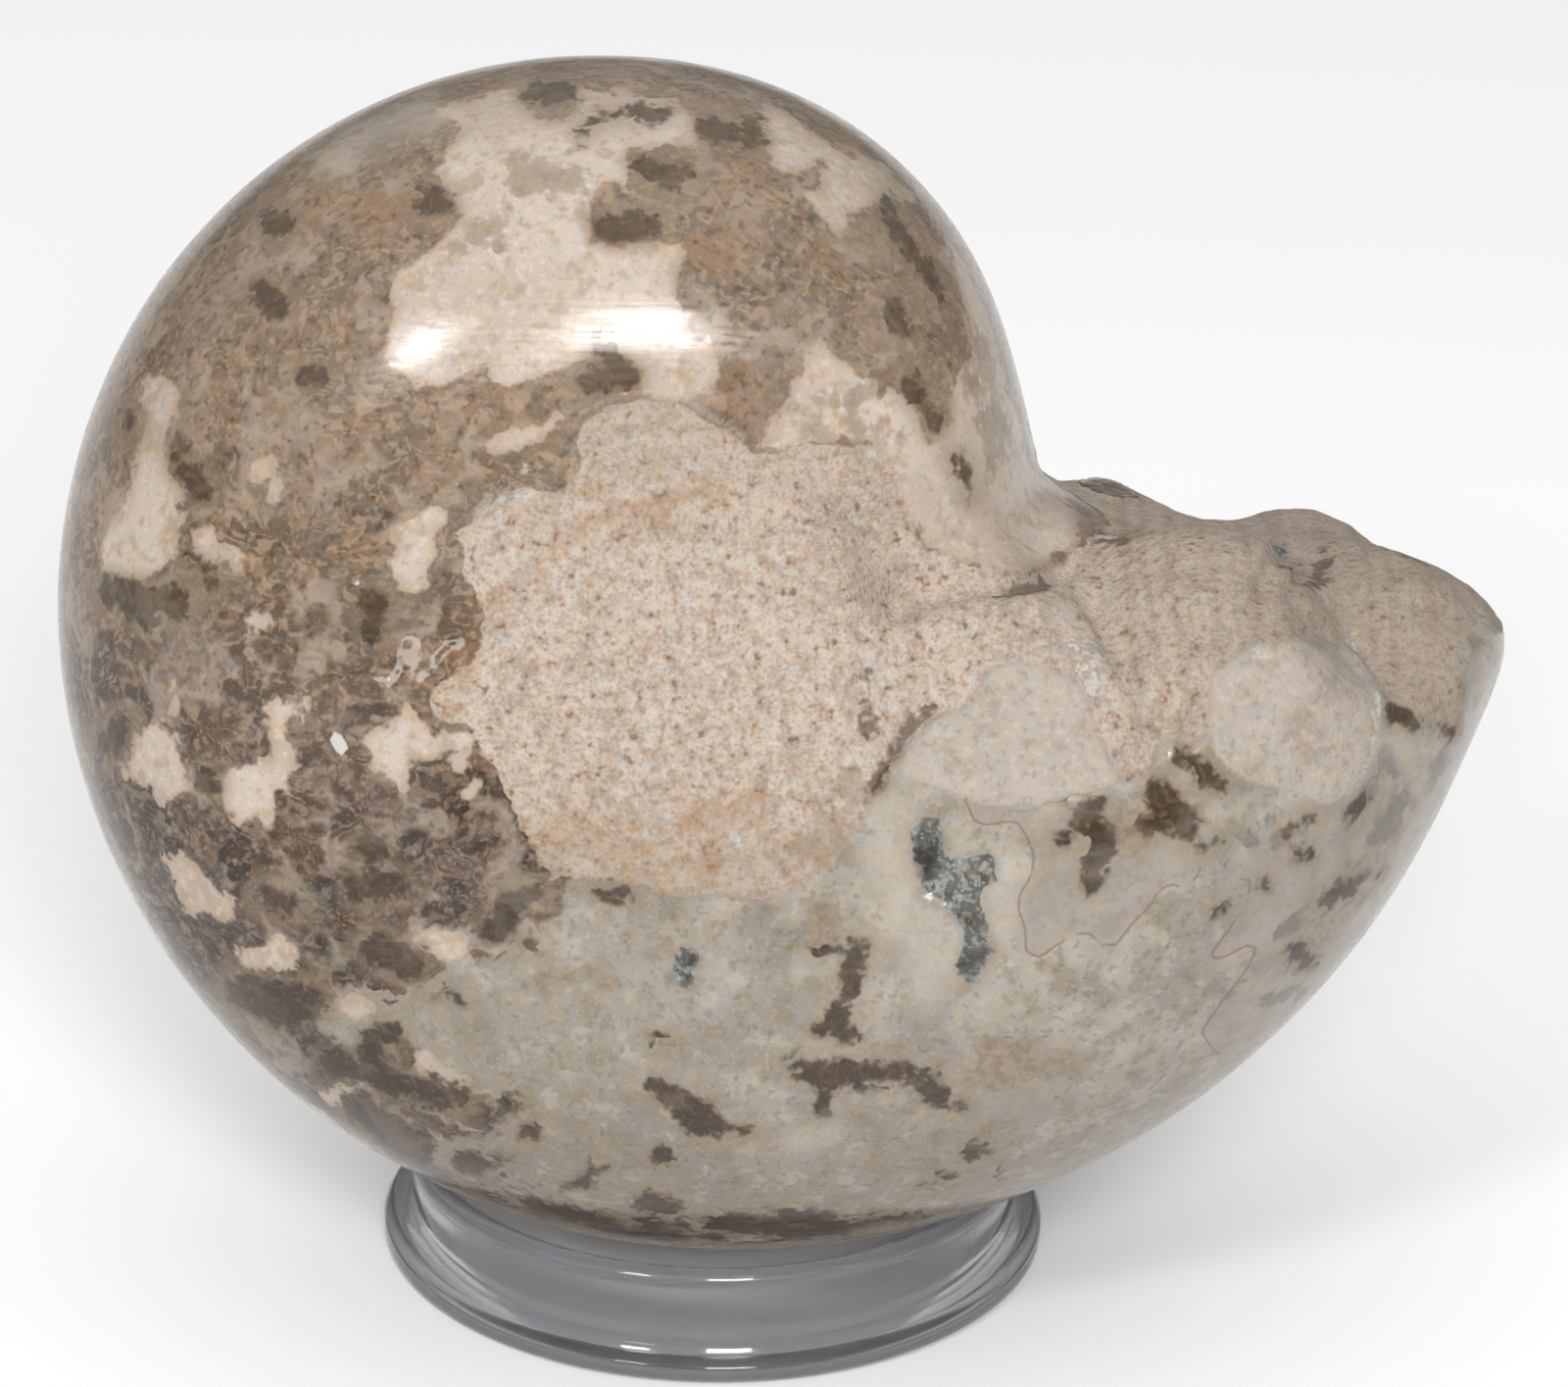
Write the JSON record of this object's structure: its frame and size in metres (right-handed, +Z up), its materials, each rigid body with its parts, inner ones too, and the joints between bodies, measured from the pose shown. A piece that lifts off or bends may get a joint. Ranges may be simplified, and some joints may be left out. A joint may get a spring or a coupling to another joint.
{
  "type": "vascoceras ammonite fossil",
  "caption": "Polished, inflated coiled ammonite fossil with a stone-filled centre and a folded broken end, resting on a clear round ring stand.",
  "frame": {"origin": "middle of the outline seen from above, on the plane that the ring's foot stands on", "axes": "+Z up; +X towards the broken end; the flank that the picture shows looks along -Y"},
  "size_m": [0.1058, 0.0614, 0.0926],
  "materials": {
    "fossil_stone": "polished shell with matte rock in the centre and on the broken end",
    "clear_plastic": "clear, moulded, glossy"
  },
  "bodies": {
    "root": {"ammonite": "fossil_stone", "ring_stand": "clear_plastic"}
  },
  "joints": []
}
